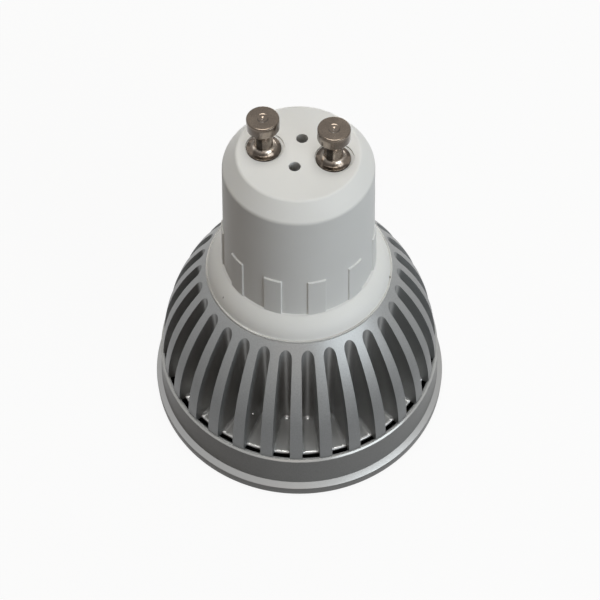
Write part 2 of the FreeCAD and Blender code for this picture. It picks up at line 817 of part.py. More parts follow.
os.makedirs("parts", exist_ok=True)
for piece in pieces:
    piece.Shape.exportStep("parts/%s.step" % piece.Label)
    print(piece.Label, len(piece.Shape.Solids), "solid", round(piece.Shape.Volume, 2), "mm3")
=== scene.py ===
import json
import math

import bmesh
import bpy
import numpy as np
from mathutils import Matrix, Vector
from mathutils.geometry import delaunay_2d_cdt


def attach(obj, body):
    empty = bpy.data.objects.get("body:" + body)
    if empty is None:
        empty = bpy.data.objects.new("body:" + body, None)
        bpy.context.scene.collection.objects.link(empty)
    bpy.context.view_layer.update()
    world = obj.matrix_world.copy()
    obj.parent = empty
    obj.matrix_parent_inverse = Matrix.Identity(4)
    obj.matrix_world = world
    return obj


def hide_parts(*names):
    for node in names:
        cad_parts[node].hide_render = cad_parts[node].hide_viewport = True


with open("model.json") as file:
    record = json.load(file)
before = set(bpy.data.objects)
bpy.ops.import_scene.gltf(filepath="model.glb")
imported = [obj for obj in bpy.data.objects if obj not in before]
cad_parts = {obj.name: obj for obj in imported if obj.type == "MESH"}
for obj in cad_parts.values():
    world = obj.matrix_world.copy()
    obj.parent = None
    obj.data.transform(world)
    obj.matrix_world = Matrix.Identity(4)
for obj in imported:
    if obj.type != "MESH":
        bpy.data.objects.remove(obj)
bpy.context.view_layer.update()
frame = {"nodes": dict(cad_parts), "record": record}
print("frame loaded:", len(frame["nodes"]), "nodes")

mm = 0.001
weldDistance = 2e-6  # points closer than this become one, in metres
pinLine = math.radians(348.6)  # the line through both pins, turned about Z from +X


# mesh tools

def weldedObject(name, parts, smoothAngle=35):
    # parts are (points, faces) arrays; they are stacked, welded where they meet and turned outwards
    offsets = np.cumsum([0] + [len(points) for points, faces in parts])
    points = np.concatenate([points for points, faces in parts])
    faces = [face for (p, f), start in zip(parts, offsets) for face in (np.asarray(f) + start).tolist()]
    mesh = bpy.data.meshes.new(name)
    mesh.from_pydata((points * mm).tolist(), [], faces)
    work = bmesh.new()
    work.from_mesh(mesh)
    bmesh.ops.remove_doubles(work, verts=work.verts, dist=weldDistance)
    bmesh.ops.dissolve_degenerate(work, edges=work.edges, dist=weldDistance / 2)
    bmesh.ops.recalc_face_normals(work, faces=work.faces)
    work.to_mesh(mesh)
    work.free()
    mesh.polygons.foreach_set("use_smooth", np.ones(len(mesh.polygons), bool))
    mesh.set_sharp_from_angle(angle=math.radians(smoothAngle))
    mesh.update()
    piece = bpy.data.objects.new(name, mesh)
    bpy.context.scene.collection.objects.link(piece)
    return piece


def gridPart(points):
    # points[row, column] becomes quads between neighbouring rows and columns
    rows, columns = points.shape[:2]
    index = np.arange(rows * columns).reshape(rows, columns)
    quads = np.stack([index[:-1, :-1], index[:-1, 1:], index[1:, 1:], index[1:, :-1]], -1)
    return points.reshape(-1, 3), quads.reshape(-1, 4)


def aroundAxis(radius, height, angle):
    # a point at this radius and height, turned by angle about Z
    return np.stack(np.broadcast_arrays(radius * np.cos(angle), radius * np.sin(angle), height), -1)


def turnedPart(profile, segments=256, centre=(0, 0)):
    # the profile (radius, height) carried once round an upright axis through centre
    angle = np.linspace(0, 2 * np.pi, segments + 1)
    points = aroundAxis(profile[:, :1], profile[:, 1:], angle[None])
    return gridPart(points + np.array([centre[0], centre[1], 0]))


def roundedProfile(corners, closed=True, steps=6):
    # corners are (radius, height, rounding); each rounding is an arc tangent to both neighbours
    spots = np.array([corner[:2] for corner in corners], float)
    profile = []
    for number, corner in enumerate(corners):
        rounding = corner[2] if len(corner) > 2 else 0
        if rounding == 0:
            profile.append(spots[number][None])
            continue
        back = spots[number - 1] - spots[number]
        ahead = spots[(number + 1) % len(spots)] - spots[number]
        back = back / np.linalg.norm(back)
        ahead = ahead / np.linalg.norm(ahead)
        halfTurn = np.arccos(np.clip(back @ ahead, -1, 1)) / 2
        inward = (back + ahead) / np.linalg.norm(back + ahead)
        middle = spots[number] + inward * rounding / np.sin(halfTurn)
        start = spots[number] + back * rounding / np.tan(halfTurn) - middle
        finish = spots[number] + ahead * rounding / np.tan(halfTurn) - middle
        share = np.linspace(0, 1, steps + 1)[:, None]
        sweep = np.arccos(np.clip(start @ finish / rounding ** 2, -1, 1))
        arc = (np.sin((1 - share) * sweep) * start + np.sin(share * sweep) * finish) / np.sin(sweep)
        profile.append(middle + arc)
    profile = np.concatenate(profile)
    return np.concatenate([profile, profile[:1]]) if closed else profile


def arcBetween(start, finish, swell, steps):
    # the arc from start to finish that stands off its chord by swell, to the right of its direction
    start, finish = np.array(start, float), np.array(finish, float)
    chord = finish - start
    length = np.linalg.norm(chord)
    right = np.array([chord[1], -chord[0]]) / length
    radius = length ** 2 / (8 * abs(swell)) + abs(swell) / 2
    middle = (start + finish) / 2 + right * (swell - math.copysign(radius, swell))
    first = np.arctan2(*(start - middle)[::-1])
    turn = 2 * np.arcsin(length / 2 / radius) * (1 if swell > 0 else -1)
    angle = first + turn * np.linspace(0, 1, steps + 1)
    return middle + radius * np.stack([np.cos(angle), np.sin(angle)], -1)


def finished(piece, nodeName, material):
    # gives the piece its finish, ties it to the body root and lets it stand in for its solid
    piece.data.materials.append(material)
    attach(piece, "root")
    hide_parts(nodeName)
    print("made", piece.name, "with", len(piece.data.polygons), "faces")
    return piece


# material tools

def newMaterial(name):
    material = bpy.data.materials.new(name)
    material.use_nodes = True
    tree = material.node_tree
    shader = tree.nodes["Principled BSDF"]
    return material, tree, shader


def addNode(tree, kind, settings=None, **inputs):
    # inputs are values or output sockets, named as the node's own with _ for a space, or _ and a number
    node = tree.nodes.new(kind)
    for key, setting in (settings or {}).items():
        setattr(node, key, setting)
    for key, given in inputs.items():
        socket = node.inputs[int(key[1:])] if key[0] == "_" else node.inputs[key.replace("_", " ")]
        if isinstance(given, bpy.types.NodeSocket):
            tree.links.new(given, socket)
        else:
            socket.default_value = given
    return node


def mathNode(tree, operation, first, second=0.0, third=0.0):
    node = addNode(tree, "ShaderNodeMath", {"operation": operation}, _0=first, _1=second, _2=third)
    return node.outputs[0]


def mixColour(tree, factor, first, second):
    # first where the factor is 0, second where it is 1
    return addNode(tree, "ShaderNodeMix", {"data_type": "RGBA"}, _0=factor, _6=first, _7=second).outputs[2]


def mixValue(tree, factor, first, second):
    return addNode(tree, "ShaderNodeMix", {"data_type": "FLOAT"}, _0=factor, _2=first, _3=second).outputs[0]


def newGroup(name, inputs, outputs):
    # a node group with plain numbers in and out; inputs gives each one's usual value
    group = bpy.data.node_groups.new(name, "ShaderNodeTree")
    for label, given in inputs.items():
        socket = group.interface.new_socket(label, in_out="INPUT", socket_type="NodeSocketFloat")
        socket.default_value = given
    for label in outputs:
        group.interface.new_socket(label, in_out="OUTPUT", socket_type="NodeSocketFloat")
    start = group.nodes.new("NodeGroupInput")
    finish = group.nodes.new("NodeGroupOutput")
    return group, start, finish


def placeGroup(tree, group, **inputs):
    return addNode(tree, "ShaderNodeGroup", {"node_tree": group}, **inputs)


def grainGroup():
    # two sizes of noise on object coordinates: Mottle is broad, Grain is fine, both about 0.5
    group, start, finish = newGroup("castGrain", {"Broad": 60.0, "Fine": 2500.0}, ["Mottle", "Grain"])
    place = group.nodes.new("ShaderNodeTexCoord").outputs["Object"]
    broad = addNode(group, "ShaderNodeTexNoise", Vector=place, Scale=start.outputs["Broad"], Detail=3.0)
    fine = addNode(group, "ShaderNodeTexNoise", Vector=place, Scale=start.outputs["Fine"], Detail=2.0)
    group.links.new(broad.outputs[0], finish.inputs["Mottle"])
    group.links.new(fine.outputs[0], finish.inputs["Grain"])
    return group


def ringBandGroup():
    # 1 inside a ring round an upright axis, between two radii and two heights, in metres, with soft limits
    limits = {"X": 0.0, "Y": 0.0, "Inner": -1.0, "Outer": 1.0, "Low": -1.0, "High": 1.0, "Soft": 0.00008}
    group, start, finish = newGroup("ringBand", limits, ["Mask", "Radius", "Height"])
    place = group.nodes.new("ShaderNodeTexCoord").outputs["Object"]
    place = addNode(group, "ShaderNodeSeparateXYZ", Vector=place)
    across = mathNode(group, "POWER", mathNode(group, "SUBTRACT", place.outputs[0], start.outputs["X"]), 2.0)
    along = mathNode(group, "POWER", mathNode(group, "SUBTRACT", place.outputs[1], start.outputs["Y"]), 2.0)
    radius = mathNode(group, "SQRT", mathNode(group, "ADD", across, along))
    height = place.outputs[2]
    mask = None
    for first, second in ((radius, start.outputs["Inner"]), (start.outputs["Outer"], radius),
                          (height, start.outputs["Low"]), (start.outputs["High"], height)):
        inside = mathNode(group, "DIVIDE", mathNode(group, "SUBTRACT", first, second), start.outputs["Soft"])
        step = addNode(group, "ShaderNodeClamp", Value=inside).outputs[0]
        mask = step if mask is None else mathNode(group, "MULTIPLY", mask, step)
    group.links.new(mask, finish.inputs["Mask"])
    group.links.new(radius, finish.inputs["Radius"])
    group.links.new(height, finish.inputs["Height"])
    return group


castGrain = grainGroup()
ringBand = ringBandGroup()


def grained(tree, broad, fine):
    # both noises of the group, at this material's scales
    outputs = placeGroup(tree, castGrain, Broad=broad, Fine=fine).outputs
    return outputs["Mottle"], outputs["Grain"]


def shaded(tree, colour, factor, depth):
    # colour times 1 + depth * (factor - 0.5), so that the middle of the pattern is the plain colour
    gain = mathNode(tree, "MULTIPLY_ADD", factor, depth, 1 - depth / 2)
    given = colour if isinstance(colour, bpy.types.NodeSocket) else colour[:3]
    return addNode(tree, "ShaderNodeVectorMath", {"operation": "SCALE"}, _0=given, Scale=gain).outputs[0]


def spread(tree, factor, low, high):
    # noise lies mostly between 0.3 and 0.7: that span is spread from low to high
    return addNode(tree, "ShaderNodeMapRange", Value=factor, From_Min=0.3, From_Max=0.7,
                   To_Min=low, To_Max=high).outputs[0]


def bumped(tree, shader, height, depth, strength):
    # depth is in millimetres
    bump = addNode(tree, "ShaderNodeBump", Strength=strength, Distance=depth * mm, Height=height)
    tree.links.new(bump.outputs[0], shader.inputs["Normal"])


def ringMask(tree, limits, centre=(0.0, 0.0), soft=0.08):
    # limits are inner and outer radius, low and high, in millimetres
    inner, outer, low, high = (limit * mm for limit in limits)
    return placeGroup(tree, ringBand, X=centre[0] * mm, Y=centre[1] * mm, Inner=inner, Outer=outer,
                      Low=low, High=high, Soft=soft * mm).outputs["Mask"]


def weighted(tree, mask, low, high):
    # low where the mask is 0, high where it is 1
    return mathNode(tree, "MULTIPLY_ADD", mask, high - low, low)


castSilver = {"colour": (0.205, 0.209, 0.211, 1), "paintedSheenTopColour": (0.345, 0.35, 0.35, 1),
              "paintedLightDeepColour": (0.35, 0.35, 0.345, 1), "lipColour": (0.44, 0.44, 0.43, 1),
              "edgeColour": (0.6, 0.6, 0.595, 1), "paintedGlintColour": (0.95, 0.95, 0.95, 1),
              "floorColour": (0.62, 0.625, 0.625, 1), "band": (0.21, 0.207, 0.203, 1),
              "gap": (0.015, 0.015, 0.015, 1), "metallic": 0.5, "bandMetallic": 0.03, "pocketMetallic": 0.55,
              "lipMetallic": 0.4, "edgeMetallic": 0.45, "glintMetallic": 0.9, "specular": 0.1,
              "rough": (0.34, 0.44), "smoothRough": 0.2, "mottle": 0.2, "grain": 0.4, "bump": (0.03, 0.5),
              "lip": (23.2, 23.8, 8.6, 9.06), "plateEdge": (21.7, 22.3, 8.55, 9.2),
              "window": (22.05, 23.1, 5.0, 8.6), "rimBand": (23.2, 25.0, 2.0, 8.75),
              "pocket": (15.0, 22.0, 8.0, 9.7), "pocketSoft": 0.35, "domeTop": (-20.0, 60.0, 17.0, 60.0),
              "topFade": 13.0, "glint": (-1.0, 0.2, 13.9, 14.3), "glintSoft": 0.05}


def castSilverMaterial():
    # sandy satin casting; a painted sheen pales it towards the dome's top, and painted light pales it deep in
    # the slots;
    # the lip, the plate's edge and the burr are bare, the burr with a near-white painted glint; the turned
    # rim band is duller, the pocket floors are smooth, and painted shade darkens the windows
    material, tree, shader = newMaterial("castSilver")
    mottle, grain = grained(tree, broad=90.0, fine=4200.0)
    lip = ringMask(tree, castSilver["lip"])
    edge = ringMask(tree, castSilver["plateEdge"])
    pocket = ringMask(tree, castSilver["pocket"], soft=castSilver["pocketSoft"])
    glint = ringMask(tree, castSilver["glint"], heatSink["burr"][:2], castSilver["glintSoft"])
    smooth = lip
    for mask in (edge, pocket, glint):
        smooth = mathNode(tree, "MAXIMUM", smooth, mask)
    recess = tree.nodes.new("ShaderNodeAttribute")
    recess.attribute_name = "recess"
    # painted sheen: the casting's colour pales towards the dome's top, standing in for light falling there
    domeTop = ringMask(tree, castSilver["domeTop"], soft=castSilver["topFade"])
    skin = mixColour(tree, domeTop, castSilver["colour"], castSilver["paintedSheenTopColour"])
    rimBand = ringMask(tree, castSilver["rimBand"])
    skin = mixColour(tree, rimBand, skin, castSilver["band"])
    skin = shaded(tree, skin, mottle, castSilver["mottle"])
    skin = mixColour(tree, smooth, shaded(tree, skin, grain, castSilver["grain"]), skin)
    # painted light: deeper in the slots the colour pales, standing in for light reaching there
    skin = mixColour(tree, recess.outputs["Fac"], skin, castSilver["paintedLightDeepColour"])
    skin = mixColour(tree, pocket, skin, castSilver["floorColour"])
    # painted shade: near-black colour in the windows between the plate's edge and the rim
    skin = mixColour(tree, ringMask(tree, castSilver["window"]), skin, castSilver["gap"])
    skin = mixColour(tree, lip, skin, castSilver["lipColour"])
    skin = mixColour(tree, edge, skin, castSilver["edgeColour"])
    # painted highlight: near-white colour on the burr
    tree.links.new(mixColour(tree, glint, skin, castSilver["paintedGlintColour"]), shader.inputs["Base Color"])
    metal = weighted(tree, rimBand, castSilver["metallic"], castSilver["bandMetallic"])
    for mask, share in ((pocket, "pocketMetallic"), (lip, "lipMetallic"), (edge, "edgeMetallic"),
                        (glint, "glintMetallic")):
        metal = mixValue(tree, mask, metal, castSilver[share])
    tree.links.new(metal, shader.inputs["Metallic"])
    rough = spread(tree, grain, *castSilver["rough"])
    tree.links.new(mixValue(tree, smooth, rough, castSilver["smoothRough"]), shader.inputs["Roughness"])
    shader.inputs["Specular IOR Level"].default_value = castSilver["specular"]
    sand = mathNode(tree, "MULTIPLY", grain, weighted(tree, smooth, 1.0, 0.0))
    bumped(tree, shader, sand, *castSilver["bump"])
    return material


ringSilver = {"colour": (0.19, 0.186, 0.182, 1), "bright": (0.345, 0.345, 0.34, 1),
              "gap": (0.015, 0.015, 0.015, 1), "metallic": 0.04, "ledgeMetallic": 0.95, "specular": 0.15,
              "rough": (0.36, 0.46), "mottle": 0.2, "latheLines": 0.25, "latheScale": 9000.0,
              "bump": (0.01, 0.5), "ledge": (23.8, 25.2, 1.9, 2.9), "spigot": (21.0, 23.05, 2.7, 6.0)}


def ringSilverMaterial():
    # turned ring: fine lathe lines round Z, with a bright shoulder, and painted shade on the spigot behind
    # the rim band
    material, tree, shader = newMaterial("ringSilver")
    mottle, grain = grained(tree, broad=70.0, fine=3000.0)
    ledge = ringMask(tree, ringSilver["ledge"])
    place = placeGroup(tree, ringBand)
    turns = mathNode(tree, "ADD", place.outputs["Radius"], place.outputs["Height"])
    lines = addNode(tree, "ShaderNodeTexNoise", {"noise_dimensions": "1D"}, W=turns,
                    Scale=ringSilver["latheScale"], Detail=1.0)
    skin = mixColour(tree, ledge, ringSilver["colour"], ringSilver["bright"])
    skin = shaded(tree, skin, mottle, ringSilver["mottle"])
    skin = shaded(tree, skin, lines.outputs[0], ringSilver["latheLines"])
    # painted shade: near-black colour on the spigot inside the rim band
    skin = mixColour(tree, ringMask(tree, ringSilver["spigot"]), skin, ringSilver["gap"])
    tree.links.new(skin, shader.inputs["Base Color"])
    metal = weighted(tree, ledge, ringSilver["metallic"], ringSilver["ledgeMetallic"])
    tree.links.new(metal, shader.inputs["Metallic"])
    tree.links.new(spread(tree, grain, *ringSilver["rough"]), shader.inputs["Roughness"])
    shader.inputs["Specular IOR Level"].default_value = ringSilver["specular"]
    bumped(tree, shader, lines.outputs[0], *ringSilver["bump"])
    return material


pinMiddle = 5.0 * np.array([math.cos(pinLine), math.sin(pinLine)])  # of the right pin; the left is opposite
ventMiddle = 2.68 * np.array([-math.sin(pinLine), math.cos(pinLine)])

whiteMoulding = {"colour": (0.83, 0.83, 0.815, 1), "collarColour": (0.91, 0.91, 0.89, 1),
                 "dirtAndShade": (0.10, 0.085, 0.07, 1), "collar": (-1.0, 20.0, 5.0, 33.6), "rough": (0.42, 0.52),
                 "mottle": 0.05, "specular": 0.2, "bump": (0.01, 0.35),
                 "scatter": 0.08, "scatterReach": (0.0006, 0.0006, 0.0005),
                 "vent": (-1.0, 1.2, 50.0, 56.8), "ventSoft": 0.4, "ventShade": 0.15,
                 "bead": (14.42, 15.0, 29.8, 30.5), "beadDarkening": (0.15, 0.5),
                 "specks": {(-11.63, -7.46): (-1.0, 0.15, 31.2, 32.4),
                            (14.22, -2.61): (-1.0, 0.27, 30.0, 30.7)},
                 "speckSoft": 0.12, "speckDirt": 0.7}


def whiteMouldingMaterial():
    # matt white moulding with faint mottling, specks of dirt, a mottled darkening along the collar's bead,
    # and painted shade in the vents
    material, tree, shader = newMaterial("whiteMoulding")
    mottle, grain = grained(tree, broad=110.0, fine=5200.0)
    # painted shade: the vent holes' walls are darkened below the top
    vents = [ringMask(tree, whiteMoulding["vent"], middle, whiteMoulding["ventSoft"])
             for middle in (ventMiddle, -ventMiddle)]
    dirtAndShade = mathNode(tree, "MULTIPLY", mathNode(tree, "MAXIMUM", *vents), whiteMoulding["ventShade"])
    for place, limits in whiteMoulding["specks"].items():
        speck = ringMask(tree, limits, place, whiteMoulding["speckSoft"])
        dirtAndShade = mathNode(tree, "MAXIMUM", dirtAndShade, mathNode(tree, "MULTIPLY", speck, whiteMoulding["speckDirt"]))
    # darker along the collar's bead, in a mottled pattern
    beadDark = spread(tree, mottle, *whiteMoulding["beadDarkening"])
    beadDark = mathNode(tree, "MULTIPLY", beadDark, ringMask(tree, whiteMoulding["bead"]))
    dirtAndShade = mathNode(tree, "MAXIMUM", dirtAndShade, beadDark)
    onCollar = ringMask(tree, whiteMoulding["collar"])
    skin = mixColour(tree, onCollar, whiteMoulding["colour"], whiteMoulding["collarColour"])
    skin = shaded(tree, skin, mottle, whiteMoulding["mottle"])
    tree.links.new(mixColour(tree, dirtAndShade, skin, whiteMoulding["dirtAndShade"]), shader.inputs["Base Color"])
    tree.links.new(spread(tree, grain, *whiteMoulding["rough"]), shader.inputs["Roughness"])
    shader.inputs["Specular IOR Level"].default_value = whiteMoulding["specular"]
    shader.inputs["Subsurface Weight"].default_value = whiteMoulding["scatter"]
    shader.inputs["Subsurface Radius"].default_value = whiteMoulding["scatterReach"]
    bumped(tree, shader, grain, *whiteMoulding["bump"])
    return material


pinNickel = {"colour": (0.14, 0.112, 0.088, 1), "paintedLight": (0.88, 0.77, 0.67, 1),
             "paintedDarkColour": (0.028, 0.02, 0.014, 1), "rough": (0.14, 0.30), "mottle": 0.7, "grain": 1.1,
             "coat": 0.4, "coatRough": 0.15, "bump": (0.01, 0.3),
             "streakScale": (900.0, 900.0, 150.0), "streakSpan": (-1.2, 1.8),
             "darkSoft": 0.22, "brightSoft": 0.3, "neck": (-1.0, 1.75, 57.0, 60.75),
             "paintedStreaks": {"neck": ((-1.0, 2.2, 57.0, 60.5), 0.5), "flange": ((1.6, 2.7, 56.0, 56.95), 0.8),
                          "headSide": ((2.2, 2.5, 60.3, 62.55), 0.3)},
             "paintedDarkEdges": {"topEdge": ((2.14, 2.5, 62.6, 63.0), 0.4),
                         "flangeEdge": ((2.38, 2.7, 56.0, 56.9), 0.6)},
             "paintedDishRing": ((0.62, 0.92, 62.0, 63.0), 0.9),
             "paintedDishSide": ((0.1, -0.75), (-1.0, 1.2, 61.0, 65.0)), "dishSideSoft": 0.5,
             "paintedDarkPatches": {"pit": ((0.02, -0.2), (0.02, -0.2), (-1.0, 0.26, 62.0, 63.0), 0.6),
                             "neck": ((-0.6, -1.2), (-0.6, -1.2), (-1.0, 0.65, 57.25, 59.9), 0.95),
                             "flange": ((-0.65, -1.35), (-0.65, -1.35), (-1.0, 1.0, 56.3, 57.6), 0.8),
                             "headSide": ((1.1, -2.05), (-1.3, -1.95), (-1.0, 1.4, 60.9, 62.5), 0.5)},
             "paintedHighlightPatches": {"flange": ((0.95, -1.35), (0.95, -1.4), (-1.0, 0.55, 56.5, 57.5), 0.7),
                               "headSide": ((-1.35, -1.9), (0.45, -2.3), (-1.0, 1.0, 60.9, 62.45), 0.28)}}


def pinNickelMaterial():
    # dull nickel plate with painted dark reflections in streaks round the neck, flange and head, along the
    # head's top edge and the flange's edge, in a ring on the near side of the dish and in patches; painted
    # highlights pale the neck and some patches
    material, tree, shader = newMaterial("pinNickel")
    mottle, grain = grained(tree, broad=500.0, fine=6000.0)
    place = tree.nodes.new("ShaderNodeTexCoord").outputs["Object"]
    upright = addNode(tree, "ShaderNodeMapping", Vector=place, Scale=pinNickel["streakScale"])
    streaks = addNode(tree, "ShaderNodeTexNoise", Vector=upright.outputs[0], Scale=1.0, Detail=1.0)
    streaks = spread(tree, streaks.outputs[0], *pinNickel["streakSpan"])

    def onBoth(limits, depth=1.0, right=(0, 0), left=(0, 0), soft=0.12):
        # a mask on both pins, slid from the middle of the right one and of the left one
        masks = [ringMask(tree, limits, pinMiddle + np.array(right), soft),
                 ringMask(tree, limits, np.array(left) - pinMiddle, soft)]
        return mathNode(tree, "MULTIPLY", mathNode(tree, "MAXIMUM", *masks), depth)

    paintedDark = 0.0
    # painted reflections: dark streaks on the neck, the flange and the head's side
    for limits, depth in pinNickel["paintedStreaks"].values():
        paintedDark = mathNode(tree, "MAXIMUM", paintedDark, onBoth(limits, depth))
    paintedDark = mathNode(tree, "MULTIPLY", paintedDark, addNode(tree, "ShaderNodeClamp", Value=streaks).outputs[0])
    # painted shade along the head's top edge and the flange's edge
    for limits, depth in pinNickel["paintedDarkEdges"].values():
        paintedDark = mathNode(tree, "MAXIMUM", paintedDark, onBoth(limits, depth))
    # painted reflection: a dark ring on the near side of the dish
    slide, limits = pinNickel["paintedDishSide"]
    side = onBoth(limits, 1.0, slide, slide, pinNickel["dishSideSoft"])
    dish = mathNode(tree, "MULTIPLY", onBoth(*pinNickel["paintedDishRing"]), side)
    paintedDark = mathNode(tree, "MAXIMUM", paintedDark, dish)
    # painted reflections: dark patches on the pit, neck, flange and head's side
    for right, left, limits, depth in pinNickel["paintedDarkPatches"].values():
        paintedDark = mathNode(tree, "MAXIMUM", paintedDark, onBoth(limits, depth, right, left, pinNickel["darkSoft"]))
    # painted light: the neck and the bright patches get a pale colour, as painted highlights
    paintedLight = onBoth(pinNickel["neck"], soft=pinNickel["brightSoft"])
    for right, left, limits, depth in pinNickel["paintedHighlightPatches"].values():
        bright = onBoth(limits, depth, right, left, pinNickel["brightSoft"])
        paintedLight = mathNode(tree, "MAXIMUM", paintedLight, bright)
        paintedDark = mathNode(tree, "MULTIPLY", paintedDark, weighted(tree, bright, 1.0, 0.0))
    skin = mixColour(tree, paintedLight, pinNickel["colour"], pinNickel["paintedLight"])
    skin = shaded(tree, skin, mottle, pinNickel["mottle"])
    skin = shaded(tree, skin, grain, pinNickel["grain"])
    tree.links.new(mixColour(tree, paintedDark, skin, pinNickel["paintedDarkColour"]), shader.inputs["Base Color"])
    tree.links.new(spread(tree, mottle, *pinNickel["rough"]), shader.inputs["Roughness"])
    shader.inputs["Metallic"].default_value = 1.0
    shader.inputs["Coat Weight"].default_value = pinNickel["coat"]
    shader.inputs["Coat Roughness"].default_value = pinNickel["coatRough"]
    bumped(tree, shader, grain, *pinNickel["bump"])
    return material


frostedLens = {"colour": (0.82, 0.83, 0.81, 1), "rough": (0.35, 0.5), "mottle": 0.06, "bump": (0.02, 0.4),
               "scatter": 0.3, "scatterReach": (0.002, 0.002, 0.0018)}


def frostedLensMaterial():
    # milky moulded lens with a fine frosted face
    material, tree, shader = newMaterial("frostedLens")
    mottle, grain = grained(tree, broad=40.0, fine=3500.0)
    skin = shaded(tree, frostedLens["colour"], mottle, frostedLens["mottle"])
    tree.links.new(skin, shader.inputs["Base Color"])
    tree.links.new(spread(tree, grain, *frostedLens["rough"]), shader.inputs["Roughness"])
    shader.inputs["Subsurface Weight"].default_value = frostedLens["scatter"]
    shader.inputs["Subsurface Radius"].default_value = frostedLens["scatterReach"]
    bumped(tree, shader, grain, *frostedLens["bump"])
    return material


# heat sink: thirty ribs on a hub, one casting

heatSink = {"ribs": 30, "slotAngle": 7.05, "slotPhase": 10.0, "slotRoot": 15.45, "domeFoot": (23.27, 9.0),
            "domeTop": (14.75, 30.0), "domeSwell": 1.75, "rimFoot": (24.10, 2.63), "rimLip": (23.64, 8.76),
            "lipEdge": (23.40, 9.0), "rimBore": 23.0, "plateEdge": 22.15, "plateUnder": 7.4, "hubBore": 13.4,
            "wireHole": 4.0, "floorFillet": 0.45, "plateRound": 0.35, "recess": 2.0,
            "edgeRound": 0.07, "sharpAngle": 38, "burr": (-7.47, -17.66, 14.1), "burrSize": 0.19,
            "rows": {"side": 40, "root": 13, "top": 6, "wall": 9}}


def heatSinkColumns(slotHalf):
    # angles of the columns across one rib's share: half a slot, the rib, half a slot
    share = np.pi / heatSink["ribs"]
    fromWall = np.array([0, 0.06, 0.16, 0.3, 0.55, 1.0])
    slotHalf = slotHalf[:, None]
    ribHalf = share - slotHalf
    left = -share + slotHalf * (1 - fromWall[::-1])
    rib = ribHalf * np.linspace(-1, 1, 9)[1:-1]
    right = ribHalf + slotHalf * fromWall
    return np.concatenate([left, rib, right], 1)


